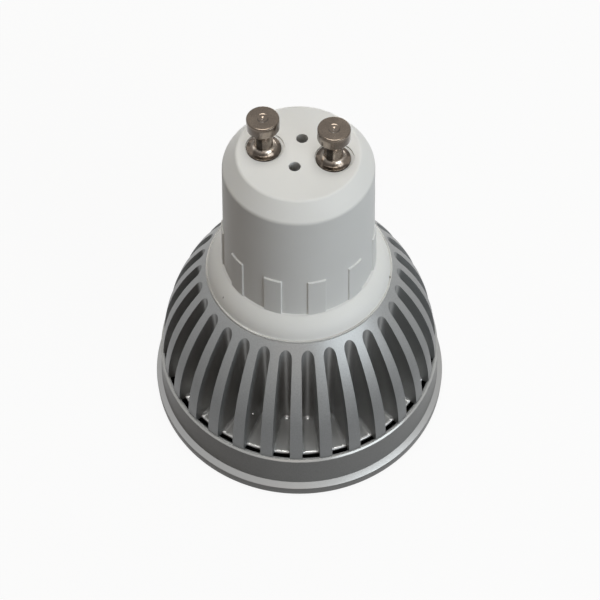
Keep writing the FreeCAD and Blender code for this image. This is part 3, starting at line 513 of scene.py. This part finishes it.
def makeHeatSink():
    # one rib with half a slot on each side, as sheets of radius, height and angle, turned thirty times
    s = heatSink
    rows = s["rows"]
    tiny = 1e-6
    half = math.radians(s["slotAngle"] / 2)
    centre = s["slotRoot"] / (1 - math.sin(half))  # of the slot's round root, from the axis
    root = centre * math.sin(half)
    floor = s["domeFoot"][1]

    # latitudes of the dome: along the straight slot sides, round the slot's root, then above the slot
    rootTurn = np.linspace(math.pi / 2 - half, 0, rows["root"])
    rootAcross, rootAlong = centre - root * np.cos(rootTurn), root * np.sin(rootTurn)
    rootRadius = np.hypot(rootAcross, rootAlong)
    rootHalf = np.arctan2(rootAlong, rootAcross)
    arc = arcBetween(s["domeFoot"], s["domeTop"], s["domeSwell"], steps=400)
    sideRadius = np.interp(np.linspace(0, 1, rows["side"]), np.linspace(0, 1, len(arc)), arc[:, 0])
    sideRadius = sideRadius[sideRadius > rootRadius[0] + 0.05]
    plateRound = s["plateEdge"] - s["plateRound"] * np.array([1, 0.8, 0.6, 0.4, 0.22, 0.08, 0])
    sideRadius = np.unique(np.concatenate([sideRadius, [s["rimBore"]], plateRound]))[::-1]
    slotRadius = np.concatenate([sideRadius, rootRadius])
    slotHalf = np.concatenate([np.full(len(sideRadius), half), rootHalf])
    topRadius = np.linspace(s["slotRoot"], s["domeTop"][0], rows["top"])
    topHalf = half * np.linspace(0, 1, rows["top"])

    def domeHeight(radius):
        return np.interp(-radius, -arc[:, 0], arc[:, 1])

    slotColumns = heatSinkColumns(slotHalf)
    topColumns = heatSinkColumns(topHalf)
    plainColumns = heatSinkColumns(np.array([half]))
    leftSlot, rib, rightSlot = slice(0, 6), slice(5, 14), slice(13, 19)  # columns; neighbours share one

    def lathe(profile, part=slice(None)):
        profile = np.array(profile, float)
        return aroundAxis(profile[:, :1], profile[:, 1:], plainColumns[:, part])

    sheets = []
    sheets.append(aroundAxis(slotRadius[:, None], domeHeight(slotRadius)[:, None], slotColumns[:, rib]))
    sheets.append(aroundAxis(topRadius[:, None], domeHeight(topRadius)[:, None], topColumns))
    sheets.append(lathe([s["domeTop"], (s["hubBore"], s["domeTop"][1]), (s["hubBore"], floor),
                         (s["wireHole"], floor), (s["wireHole"], s["plateUnder"]),
                         (s["plateEdge"], s["plateUnder"])]))
    sheets.append(lathe([(s["plateEdge"], s["plateUnder"]), (s["rimBore"], s["plateUnder"])], rib))
    sheets.append(lathe([(s["rimBore"], s["plateUnder"]), (s["rimBore"], s["rimFoot"][1]), s["rimFoot"],
                         s["rimLip"], s["lipEdge"], s["domeFoot"]]))

    # floor between two ribs, with a fillet to the walls: height follows the distance to the nearest wall
    onFloor = slotRadius <= s["plateEdge"] + tiny
    floorRadius = slotRadius[onFloor][:, None]
    fillet = s["floorFillet"]
    past = np.clip(slotRadius - s["plateEdge"] + s["plateRound"], 0, s["plateRound"])
    drop = s["plateRound"] - np.sqrt(s["plateRound"] ** 2 - past ** 2)  # of the plate's rounded front edge
    lowEdge = np.where(onFloor, floor + fillet - drop, floor)
    for part, wall in ((leftSlot, 0), (rightSlot, -1)):
        wallAngle = slotColumns[:, rib][:, wall][:, None]
        sheets.append(lathe([s["domeFoot"], (s["rimBore"], floor), (s["rimBore"], s["plateUnder"])], part))
        angle = slotColumns[onFloor][:, part]
        fromMiddle = np.pi / s["ribs"] - np.abs(angle)
        across, along = floorRadius * np.cos(fromMiddle), floorRadius * np.sin(fromMiddle)
        toSide = floorRadius * np.sin(half - fromMiddle)
        toRoot = root - np.hypot(across - centre, along)
        apart = np.where(across > centre * math.cos(half) ** 2, toSide, toRoot)
        lack = np.clip(fillet - apart, 0, fillet)
        height = floor + fillet - np.sqrt(fillet ** 2 - lack ** 2)
        height = np.where(np.isclose(angle, wallAngle[onFloor]), floor + fillet, height)
        height = height - drop[onFloor][:, None]
        sheets.append(aroundAxis(floorRadius, height, angle))
        edge = np.stack([height[0], np.full(height.shape[1], s["plateUnder"])])
        sheets.append(aroundAxis(np.array([[s["plateEdge"]]]), edge, angle[:1]))
        # wall of the rib from the floor up to the dome, and down past the window
        rise = np.linspace(0, 1, rows["wall"])[None]
        top = domeHeight(slotRadius)
        wallHeight = lowEdge[:, None] * (1 - rise) + top[:, None] * rise
        sheets.append(aroundAxis(slotRadius[:, None], wallHeight, wallAngle))
        inWindow = (slotRadius >= s["plateEdge"] - tiny) & (slotRadius <= s["rimBore"] + tiny)
        windowHeight = np.stack([lowEdge[inWindow], np.full(inWindow.sum(), s["plateUnder"])], 1)
        sheets.append(aroundAxis(slotRadius[inWindow][:, None], windowHeight, wallAngle[inWindow]))

    ribMiddle = pinLine + math.radians(s["slotPhase"]) + np.pi / s["ribs"]
    turns = ribMiddle + 2 * np.pi * np.arange(s["ribs"]) / s["ribs"]
    parts = []
    for turn in turns:
        cosine, sine = math.cos(turn), math.sin(turn)
        spin = np.array([[cosine, sine, 0], [-sine, cosine, 0], [0, 0, 1]])
        parts += [gridPart(sheet @ spin) for sheet in sheets]
    # a burr on one slot wall: a small ball set halfway into the wall
    bow = np.linspace(-np.pi / 2, np.pi / 2, 9)
    ball = s["burrSize"] * np.stack([np.cos(bow), np.sin(bow)], -1)
    parts.append(turnedPart(ball + [0, s["burr"][2]], segments=16, centre=s["burr"][:2]))
    piece = weldedObject("heatSinkCasting", parts, smoothAngle=s["sharpAngle"])

    # recess: how far a point lies in from the dome's face at its own height, over the recess setting
    spots = np.empty(len(piece.data.vertices) * 3)
    piece.data.vertices.foreach_get("co", spots)
    spots = spots.reshape(-1, 3) / mm
    inward = np.interp(spots[:, 2], arc[:, 1], arc[:, 0]) - np.hypot(spots[:, 0], spots[:, 1])
    recess = piece.data.attributes.new("recess", "FLOAT", "POINT")
    recess.data.foreach_set("value", np.clip(inward / s["recess"], 0, 1))
    bevel = piece.modifiers.new("cast edges", "BEVEL")
    bevel.width = s["edgeRound"] * mm
    bevel.segments = 2
    bevel.limit_method = "ANGLE"
    bevel.angle_limit = math.radians(s["sharpAngle"])
    bevel.harden_normals = True
    return finished(piece, "heat_sink", castSilverMaterial())


# front ring and lens

lensRing = {"outer": 25.0, "wallTop": 1.94, "shoulder": (24.10, 2.63), "spigot": (22.9, 21.9),
            "spigotTop": 5.43, "lip": 20.8, "recess": 1.0, "lipBevel": 0.4, "edge": 0.3, "footRound": 0.1,
            "shoulderRound": 0.08, "spigotRound": 0.1, "lipRound": 0.05}


def makeLensRing():
    # a closed profile with rounded corners, carried once round Z
    s = lensRing
    outside, inside = s["spigot"]
    profile = roundedProfile([
        (s["lip"] + s["lipBevel"], 0, s["footRound"]), (s["outer"], 0, s["edge"]),
        (s["outer"], s["wallTop"], s["edge"]), (*s["shoulder"], s["shoulderRound"]),
        (outside, s["shoulder"][1]), (outside, s["spigotTop"], s["spigotRound"]),
        (inside, s["spigotTop"], s["spigotRound"]), (inside, s["recess"]),
        (s["lip"], s["recess"], s["lipRound"]), (s["lip"], s["lipBevel"], s["lipRound"])])
    piece = weldedObject("frontRing", [turnedPart(profile)], smoothAngle=30)
    return finished(piece, "lens_ring", ringSilverMaterial())


lens = {"radius": 21.8, "front": 1.0, "back": 2.6, "skirtInner": 20.8, "skirtTop": 7.4, "crown": 0.25,
        "edgeRound": 0.1, "cornerRound": 0.2}


def makeLens():
    # a slightly hollow front on a flat arc, then the skirt and the back, carried once round Z
    s = lens
    edge = s["edgeRound"]
    profile = np.concatenate([
        arcBetween((0, s["front"] + s["crown"]), (s["skirtInner"], s["front"]), s["crown"] / 4, steps=24),
        roundedProfile([(s["radius"], s["front"], edge), (s["radius"], s["skirtTop"], edge),
                        (s["skirtInner"], s["skirtTop"], edge),
                        (s["skirtInner"], s["back"], s["cornerRound"])], closed=False),
        [(0, s["back"])]])
    piece = weldedObject("frontLens", [turnedPart(profile)], smoothAngle=30)
    return finished(piece, "lens", frostedLensMaterial())


# white base

whiteBase = whiteMouldingMaterial()

collar = {"tube": (13.3, 12.1), "tubeFoot": 9.2, "seat": 30.0, "edge": (14.72, 30.4), "bead": 0.19,
          "beadRound": 0.09, "groove": 0.13, "step": 0.02, "swell": 0.45, "shoulder": (12.04, 33.62),
          "neckFoot": 10.48, "neckTop": (10.16, 41.52), "neckInner": 9.16, "throat": (31.2, 28.8)}


def makeCollar():
    # tube, bead, groove, swelling flare and neck as one profile, carried once round Z
    s = collar
    outer, top = s["edge"]
    tube, bore = s["tube"]
    inBead = outer - s["bead"]
    profile = np.concatenate([
        roundedProfile([(bore, s["tubeFoot"]), (tube, s["tubeFoot"]), (tube, s["seat"]), (outer, s["seat"]),
                        (outer, top, s["beadRound"]), (inBead, top, s["beadRound"]),
                        (inBead - s["step"], top - s["groove"])], closed=False),
        arcBetween((inBead - s["groove"], top - s["step"]), s["shoulder"], s["swell"], steps=16),
        roundedProfile([(s["neckFoot"], s["shoulder"][1]), s["neckTop"], (s["neckInner"], s["neckTop"][1]),
                        (s["neckInner"], s["throat"][0]), (bore, s["throat"][1]),
                        (bore, s["tubeFoot"])], closed=False)])
    piece = weldedObject("baseCollar", [turnedPart(profile)], smoothAngle=40)
    return finished(piece, "base_sleeve", whiteBase)


cap = {"foot": (11.78, 33.62), "shoulder": (10.95, 54.19), "top": (8.88, 56.8), "shoulderRound": 1.1,
       "topRound": 0.6, "topRim": 0.8, "wall": 1.2, "roof": 1.8, "ceilingDrop": 0.6, "pads": 11,
       "padAngle": 13.0, "padHeight": 7.6, "padRise": 0.25, "padEdge": 0.5, "padFade": (0.1, 0.06),
       "seatDepth": 0.3, "seatRadius": 2.80, "seatShift": (0.17, 0.05), "shankHole": 1.12,
       "ventRadius": 0.85, "holeSides": 48}


def easedStep(share):
    # 0 below 0, 1 above 1 and a smooth S between
    share = np.clip(share, 0, 1)
    return share * share * (3 - 2 * share)


def flatWithHoles(outline, holes, height):
    # fills the outline at one height, leaving out the round holes
    loops = [outline] + holes
    margin = 0.995  # a triangle whose middle lies nearer than this share of a hole's radius is in the hole
    starts = np.cumsum([0] + [len(loop) for loop in loops])
    edges = [(int(start + k), int(start + (k + 1) % len(loop))) for loop, start in zip(loops, starts)
             for k in range(len(loop))]
    flat = [Vector(spot) for loop in loops for spot in loop]
    spots, _, faces, _, _, _ = delaunay_2d_cdt(flat, edges, [], 1, 1e-7)
    spots = np.array([list(spot) for spot in spots])
    faces = np.array(faces)
    middles = spots[faces].mean(1)
    outside = np.ones(len(faces), bool)
    for hole in holes:
        centre = hole.mean(0)
        reach = np.linalg.norm(hole[0] - centre)
        outside &= np.linalg.norm(middles - centre, axis=1) > reach * margin
    points = np.concatenate([spots, np.full((len(spots), 1), height)], 1)
    return points, faces[outside]


def ringSpots(centre, radius, sides):
    # points evenly round a circle
    angle = 2 * np.pi * np.arange(sides) / sides
    return np.array(centre) + radius * np.stack([np.cos(angle), np.sin(angle)], -1)


def makeCap():
    # the wall's radius is the profile's plus padRise times two smooth steps, one round the cap and one
    # upwards; the top and the ceiling are flat, with the pin seats and vents cut out
    s = cap
    pitch = 2 * np.pi / s["pads"]
    padHalf = math.radians(s["padAngle"] / 2)
    edge = math.radians(s["padEdge"])
    across = np.concatenate([np.linspace(-pitch / 2, -padHalf - edge, 7),
                             np.linspace(-padHalf - edge, -padHalf, 4)[1:],
                             np.linspace(-padHalf, padHalf, 9)[1:],
                             np.linspace(padHalf, padHalf + edge, 4)[1:],
                             np.linspace(padHalf + edge, pitch / 2, 7)[1:-1]])
    angle = (pinLine + across[None] + pitch * np.arange(s["pads"])[:, None]).ravel()
    angle = np.append(angle, angle[0] + 2 * np.pi)
    onPad = np.tile(easedStep((padHalf + edge - np.abs(across)) / edge), s["pads"])
    onPad = np.append(onPad, onPad[0])
    outer = roundedProfile([s["foot"], (*s["shoulder"], s["shoulderRound"]), (*s["top"], s["topRound"]),
                            (s["top"][0] - s["topRim"], s["top"][1])], closed=False, steps=10)
    padTop = s["foot"][1] + s["padHeight"]
    below, above = s["padFade"]  # a pad's rise fades out between these distances from padTop
    fade = below + above
    wallHeights = np.concatenate([np.linspace(s["foot"][1], padTop - fade, 8),
                                  padTop + np.linspace(-below, above, 5),
                                  np.linspace(padTop + 0.3, outer[1, 1] - 0.5, 8)])  # rows of the plain wall
    wall = np.stack([np.interp(wallHeights, outer[:2, 1], outer[:2, 0]), wallHeights], -1)
    profile = np.concatenate([wall, outer[1:]])
    rise = s["padRise"] * easedStep((padTop + above - profile[:, 1]) / fade)
    radius = profile[:, :1] + rise[:, None] * onPad[None]
    shell = aroundAxis(radius, profile[:, 1:], angle[None])
    innerFoot = s["foot"][0] - s["wall"]
    innerTop = s["shoulder"][0] - s["wall"]
    ceiling = s["top"][1] - s["roof"]
    inside = np.array([(innerFoot, s["foot"][1]), (innerTop, s["shoulder"][1] - s["ceilingDrop"]),
                       (s["top"][0] - s["ceilingDrop"], ceiling)])
    hollow = aroundAxis(inside[:, :1], inside[:, 1:], angle[None])
    rim = np.stack([shell[0], hollow[0]])
    top = s["top"][1]
    seat = top - s["seatDepth"]
    pins = [pinMiddle, -pinMiddle]
    vents = [ventMiddle, -ventMiddle]
    seatRings = [ringSpots(pin + np.array(s["seatShift"]), s["seatRadius"], s["holeSides"]) for pin in pins]
    ventRings = [ringSpots(vent, s["ventRadius"], s["holeSides"]) for vent in vents]
    shankRings = [ringSpots(pin, s["shankHole"], s["holeSides"]) for pin in pins]
    parts = [gridPart(shell), gridPart(hollow), gridPart(rim),
             flatWithHoles(shell[-1, :-1, :2], seatRings + ventRings, top),
             flatWithHoles(hollow[-1, :-1, :2], shankRings + ventRings, ceiling)]
    parts += [flatWithHoles(ring, [hole], seat) for ring, hole in zip(seatRings, shankRings)]
    for rings, low, high in ((seatRings, seat, top), (ventRings, ceiling, top), (shankRings, ceiling, seat)):
        for ring in rings:
            loop = np.concatenate([ring, ring[:1]])
            parts.append(gridPart(np.stack([np.insert(loop, 2, level, axis=1) for level in (low, high)])))
    piece = weldedObject("baseCap", parts, smoothAngle=32)
    return finished(piece, "base_cap", whiteBase)


# contact pins

contactPin = {"seat": 56.5, "tip": 62.84, "head": 2.32, "headHeight": 1.95, "headRound": 0.25,
              "headChamfer": 0.12, "headStep": 0.02, "headFootRound": 0.1, "topFlat": 0.35, "topStart": 0.4,
              "taper": 0.75, "taperHollow": 0.09, "neck": 1.35, "flange": 2.5, "flangeEdge": 0.3,
              "flangeRound": (0.08, 0.1), "flangeSlope": (0.3, 0.03), "flareFoot": (0.45, 0.05),
              "flare": 0.85, "flareHollow": 0.16, "shank": 1.1, "rivet": 1.8, "rivetHeight": 0.5,
              "rivetRound": 0.15, "ceiling": 55.0, "tail": 53.0, "tailRound": 0.2,
              "dish": (0.88, 0.2, 0.05), "pit": (0.28, 0.12)}


def makePin(name, node, sign, material):
    # one profile carried round the pin's own axis; its top has a shallow dish with a smooth S for its wall,
    # and a bell-shaped pit in its middle
    s = contactPin
    headFoot = s["tip"] - s["headHeight"]
    flangeTop = s["seat"] + s["flangeEdge"]
    rivetFoot = s["ceiling"] - s["rivetHeight"]
    lowRound, highRound = s["flangeRound"]
    slope, flareFoot = s["flangeSlope"], s["flareFoot"]  # in from the flange's edge and up from its top
    chamfer, step = s["headChamfer"], s["headStep"]
    rim, wall, dishDepth = s["dish"]
    pit, pitDepth = s["pit"]
    radius = np.linspace(s["head"] - s["topStart"], 0, 60)
    sink = dishDepth * easedStep((rim - radius) / wall) + pitDepth * np.exp(-(radius / pit) ** 2)
    dimple = np.stack([radius, s["tip"] - sink], -1)
    profile = np.concatenate([
        roundedProfile([(0, s["tail"]), (s["shank"], s["tail"], s["tailRound"]), (s["shank"], rivetFoot),
                        (s["rivet"], rivetFoot, s["rivetRound"]), (s["rivet"], s["ceiling"]),
                        (s["shank"], s["ceiling"]), (s["shank"], s["seat"]),
                        (s["flange"], s["seat"], lowRound), (s["flange"], flangeTop, highRound),
                        (s["flange"] - slope[0], flangeTop + slope[1])], closed=False),
        arcBetween((s["flange"] - flareFoot[0], flangeTop + flareFoot[1]),
                   (s["neck"], flangeTop + s["flare"]), -s["flareHollow"], steps=10),
        arcBetween((s["neck"], headFoot - s["taper"]), (s["head"] - chamfer, headFoot),
                   -s["taperHollow"], steps=8),
        roundedProfile([(s["head"] - chamfer + step, headFoot + step),
                        (s["head"], headFoot + chamfer + step, s["headFootRound"]),
                        (s["head"], s["tip"], s["headRound"]), (s["head"] - s["topFlat"], s["tip"])],
                       closed=False),
        dimple])
    body = turnedPart(profile, segments=96, centre=sign * pinMiddle)
    piece = weldedObject(name, [body], smoothAngle=34)
    return finished(piece, node, material)


makeHeatSink()
makeLensRing()
makeLens()
makeCollar()
makeCap()
nickel = pinNickelMaterial()
makePin("contactPinRight", "contact_pin_right", 1, nickel)
makePin("contactPinLeft", "contact_pin_left", -1, nickel)


# inner parts keep their solids and get a finish each

innerFinishes = {  # colour, metallic and roughness of each slot
    "pad_silicone": ((0.55, 0.60, 0.66, 1), 0.0, 0.75), "chip_phosphor": ((0.85, 0.68, 0.16, 1), 0.0, 0.4),
    "lamp_board_white": ((0.80, 0.80, 0.76, 1), 0.0, 0.35), "screw_steel": ((0.55, 0.55, 0.55, 1), 1.0, 0.3),
    "board_green": ((0.03, 0.17, 0.07, 1), 0.0, 0.35), "ferrite": ((0.05, 0.05, 0.055, 1), 0.0, 0.7),
    "coil_tape": ((0.70, 0.48, 0.05, 1), 0.0, 0.3), "can_sleeve": ((0.02, 0.02, 0.03, 1), 0.0, 0.3),
    "resistor_lacquer": ((0.10, 0.26, 0.38, 1), 0.0, 0.35), "black_epoxy": ((0.02, 0.02, 0.02, 1), 0.0, 0.55),
    "film_case": ((0.36, 0.05, 0.02, 1), 0.0, 0.3), "lead_tin": ((0.62, 0.62, 0.60, 1), 1.0, 0.35),
    "wire_red": ((0.42, 0.02, 0.02, 1), 0.0, 0.45), "wire_black": ((0.02, 0.02, 0.02, 1), 0.0, 0.45)}

innerLook = {"mottle": 0.3, "roughSpan": 0.08, "bump": (0.01, 0.4)}


def innerMaterial(name, colour, metallic, rough):
    # plain finish with a little mottling and fine grain
    span = innerLook["roughSpan"]
    material, tree, shader = newMaterial(name)
    mottle, grain = grained(tree, broad=220.0, fine=3200.0)
    skin = shaded(tree, colour, mottle, innerLook["mottle"])
    tree.links.new(skin, shader.inputs["Base Color"])
    rough = spread(tree, grain, rough - span, rough + span)
    tree.links.new(rough, shader.inputs["Roughness"])
    shader.inputs["Metallic"].default_value = metallic
    bumped(tree, shader, grain, *innerLook["bump"])
    return material


innerMaterials = {slot: innerMaterial(slot, *finish) for slot, finish in innerFinishes.items()}
for entry in frame["record"]["subparts"]:
    if entry["material_slot"] in innerMaterials:
        for place in frame["nodes"][entry["node"]].material_slots:
            place.material = innerMaterials[entry["material_slot"]]
print("inner parts finished:", len(innerMaterials), "materials")


# floor, light and camera

studio = {"floorSize": 3.0, "floorSeen": (0.9, 0.9, 0.9, 1), "floorBounce": (0.16, 0.145, 0.13, 1),
          "shadowShare": 0.10, "shadowReach": (0.10, 0.35), "worldLeft": (0.045, 0.04, 0.035, 1),
          "worldRight": (0.02, 0.02, 0.02, 1), "lampAim": (0.0, 0.0, 0.03)}


def seenDirectly(tree):
    # 1 for what the camera sees straight, in gloss or through glass
    path = tree.nodes.new("ShaderNodeLightPath")
    seen = mathNode(tree, "MAXIMUM", path.outputs["Is Camera Ray"], path.outputs["Is Glossy Ray"])
    return mathNode(tree, "MAXIMUM", seen, path.outputs["Is Transmission Ray"])


def makeFloor():
    # white to the camera and in gloss, with a little of a lit cloth near the lamp for its shadow
    half = studio["floorSize"] / 2
    mesh = bpy.data.meshes.new("floor")
    corners = [(-half, -half, 0), (half, -half, 0), (half, half, 0), (-half, half, 0)]
    mesh.from_pydata(corners, [], [(0, 1, 2, 3)])
    floor = bpy.data.objects.new("floor", mesh)
    bpy.context.scene.collection.objects.link(floor)
    material = bpy.data.materials.new("paleFloor")
    material.use_nodes = True
    tree = material.node_tree
    tree.nodes.clear()
    output = tree.nodes.new("ShaderNodeOutputMaterial")
    seen = seenDirectly(tree)
    clothColour = mixColour(tree, seen, studio["floorBounce"], studio["floorSeen"])
    cloth = addNode(tree, "ShaderNodeBsdfDiffuse", Color=clothColour)
    white = addNode(tree, "ShaderNodeEmission", Color=(1, 1, 1, 1))
    place = tree.nodes.new("ShaderNodeTexCoord").outputs["Object"]
    away = addNode(tree, "ShaderNodeVectorMath", {"operation": "LENGTH"}, Vector=place).outputs["Value"]
    near, far = studio["shadowReach"]  # the shadow shows up to here and is gone from there
    shadow = addNode(tree, "ShaderNodeMapRange", Value=away, From_Min=near, From_Max=far,
                     To_Min=studio["shadowShare"], To_Max=0.0).outputs[0]
    share = mathNode(tree, "MULTIPLY", seen, mathNode(tree, "SUBTRACT", 1.0, shadow))
    blend = addNode(tree, "ShaderNodeMixShader", _0=share, _1=cloth.outputs[0], _2=white.outputs[0])
    tree.links.new(blend.outputs[0], output.inputs[0])
    mesh.materials.append(material)


def makeWorld():
    # white to the camera and in gloss; as a light it is dim, a little stronger and warmer from the left
    world = bpy.data.worlds.new("studio")
    bpy.context.scene.world = world
    world.use_nodes = True
    tree = world.node_tree
    tree.nodes.clear()
    output = tree.nodes.new("ShaderNodeOutputWorld")
    towards = tree.nodes.new("ShaderNodeTexCoord").outputs["Generated"]
    towards = addNode(tree, "ShaderNodeSeparateXYZ", Vector=towards)
    rightwards = addNode(tree, "ShaderNodeMapRange", Value=towards.outputs[0], From_Min=-1.0).outputs[0]
    lightColour = mixColour(tree, rightwards, studio["worldLeft"], studio["worldRight"])
    light = addNode(tree, "ShaderNodeBackground", Color=lightColour)
    white = addNode(tree, "ShaderNodeBackground", Color=(1, 1, 1, 1), Strength=1.0)
    seen = seenDirectly(tree)
    blend = addNode(tree, "ShaderNodeMixShader", _0=seen, _1=light.outputs[0], _2=white.outputs[0])
    tree.links.new(blend.outputs[0], output.inputs[0])


lamps = {
    "skyLamp": {"place": (0.0, 0.05, 1.0), "size": (0.5, 0.5), "power": 5.85,
                "colour": (1.0, 0.99, 0.95)},
    "windowLamp": {"place": (0.70, -0.66, 0.29), "size": (0.8, 0.56), "power": 4.7,
                   "colour": (0.87, 0.95, 1.0)},
    "warmLamp": {"place": (-0.1, -0.95, 0.3), "size": (0.5, 0.5), "power": 0.35,
                 "colour": (1.0, 0.75, 0.6)},
    "backLamp": {"place": (0.22, 0.94, 0.13), "size": (0.6, 0.22), "power": 2.2,
                 "colour": (1.0, 0.97, 0.93)}}


def makeLamps():
    aim = Vector(studio["lampAim"])
    for name, s in lamps.items():
        light = bpy.data.lights.new(name, "AREA")
        light.shape = "RECTANGLE"
        light.size, light.size_y = s["size"]
        light.energy = s["power"]
        light.color = s["colour"]
        lamp = bpy.data.objects.new(name, light)
        lamp.visible_camera = False
        lamp.location = s["place"]
        lamp.rotation_euler = (aim - lamp.location).to_track_quat("-Z", "Y").to_euler()
        bpy.context.scene.collection.objects.link(lamp)


photoCamera = {"lens": 77.80, "sensor": 36.0, "clipStart": 0.01, "elevation": 55.035, "roll": 0.222,
               "away": 208.817, "aim": 25.0, "right": 0.141, "down": 2.583}


def makeCamera():
    # looks along +Y and down; the aim point is on the lamp's axis, with a small slide across the picture
    s = photoCamera
    tilt, roll = math.radians(s["elevation"]), math.radians(s["roll"])
    forward = Vector((0, math.cos(tilt), -math.sin(tilt)))
    right = Vector((1, 0, 0))
    down = Vector((0, -math.sin(tilt), -math.cos(tilt)))
    place = Vector((0, 0, s["aim"])) - forward * s["away"] + right * s["right"] + down * s["down"]
    across = right * math.cos(roll) + down * math.sin(roll)
    upward = right * math.sin(roll) - down * math.cos(roll)
    data = bpy.data.cameras.new("photoCamera")
    data.lens = s["lens"]
    data.sensor_width = s["sensor"]
    data.clip_start = s["clipStart"]
    camera = bpy.data.objects.new("photoCamera", data)
    turn = Matrix((across, upward, -forward)).transposed().to_4x4()
    camera.matrix_world = Matrix.Translation(place * mm) @ turn
    bpy.context.scene.collection.objects.link(camera)
    bpy.context.scene.camera = camera


makeFloor()
makeWorld()
makeLamps()
makeCamera()
bpy.context.scene.view_settings.view_transform = "Standard"
print("studio ready")
